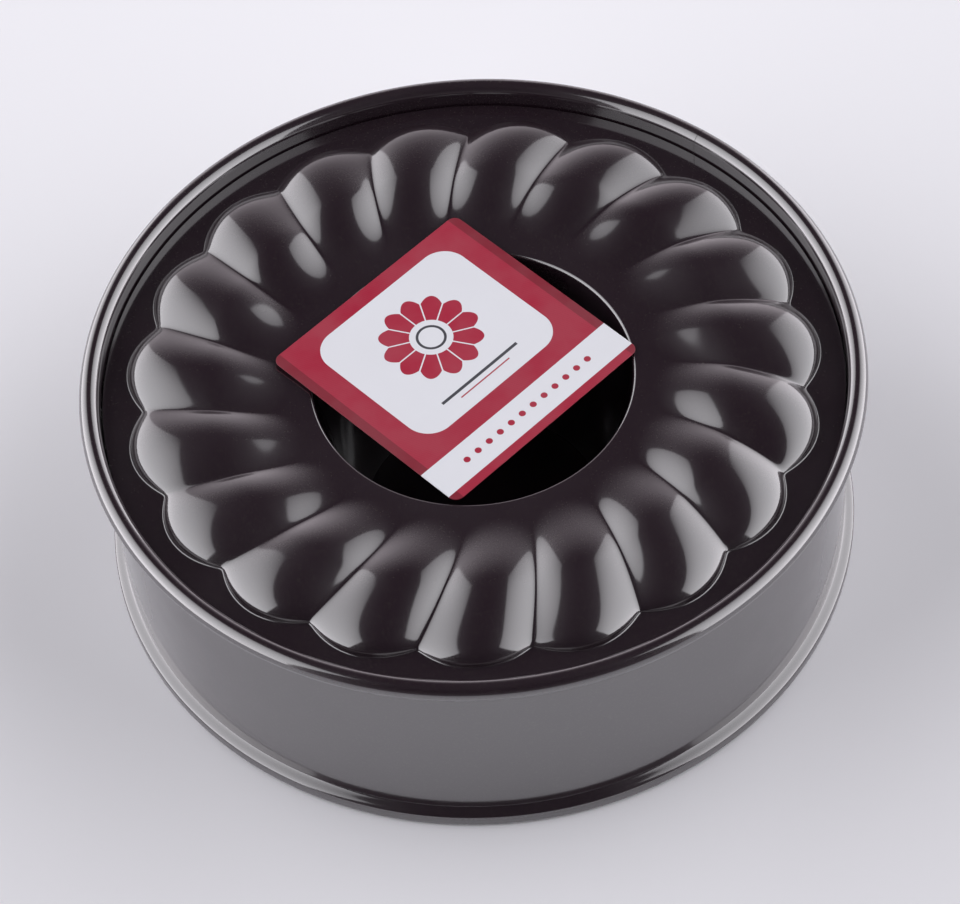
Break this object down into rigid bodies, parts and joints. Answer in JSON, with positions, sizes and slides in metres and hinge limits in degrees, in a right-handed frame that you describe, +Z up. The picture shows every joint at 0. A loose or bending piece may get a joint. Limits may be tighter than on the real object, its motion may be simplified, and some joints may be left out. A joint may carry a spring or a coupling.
{
  "type": "springform cake pan",
  "caption": "Round dark non-stick springform cake pan with a rolled rim and a side latch, packed with a flat bottom and an upturned swirl-fluted tube bottom under a square card.",
  "frame": {"origin": "on the ring's axis, in the plane that the pan stands on, at the centre of the flat bottom's underside", "axes": "+Z up along the ring's axis, out of the open rim; -Y towards the picture's viewer; the latch stands out between +X and +Y"},
  "size_m": [0.2528, 0.2528, 0.079],
  "materials": {
    "coat": "glossy brown-black non-stick coat on steel sheet",
    "plated": "bright plated steel",
    "card": "printed satin card, crimson and white"
  },
  "bodies": {
    "ring": {"ring_band": "coat", "hinge_bracket": "plated", "catch_bracket": "plated", "hinge_rivet_upper": "plated", "hinge_rivet_lower": "plated", "catch_rivet_upper": "plated", "catch_rivet_lower": "plated", "pivot_rivet_upper": "plated", "pivot_rivet_lower": "plated"},
    "flat_bottom": {"flat_base": "coat"},
    "tube_bottom": {"tube_base": "coat"},
    "loose_card": {"card": "card"},
    "lever": {"latch_lever": "plated"},
    "link": {"wire_link": "plated"}
  },
  "joints": [
    {"name": "base_lift", "type": "slide", "parent": "ring", "child": "flat_bottom", "axis": [0, 0, 1], "range_m": [0, 0.085]},
    {"name": "tube_lift", "type": "slide", "parent": "flat_bottom", "child": "tube_bottom", "axis": [0, 0, 1], "range_m": [0, 0.085]},
    {"name": "card_lift", "type": "slide", "parent": "tube_bottom", "child": "loose_card", "axis": [0, 0, 1], "range_m": [0, 0.04]},
    {"name": "lever_swing", "type": "hinge", "parent": "ring", "child": "lever", "pos_m": [0.09548, 0.08404, 0.04], "axis": [0, 0, 1], "range_deg": [0, 115]},
    {"name": "link_swing", "type": "hinge", "parent": "lever", "child": "link", "pos_m": [0.10187, 0.07833, 0.04], "axis": [0, 0, 1], "range_deg": [-103.5, 0]}
  ],
  "couplings": [
    {"joint": "link_swing", "follows": "lever_swing", "ratio": -0.9}
  ]
}
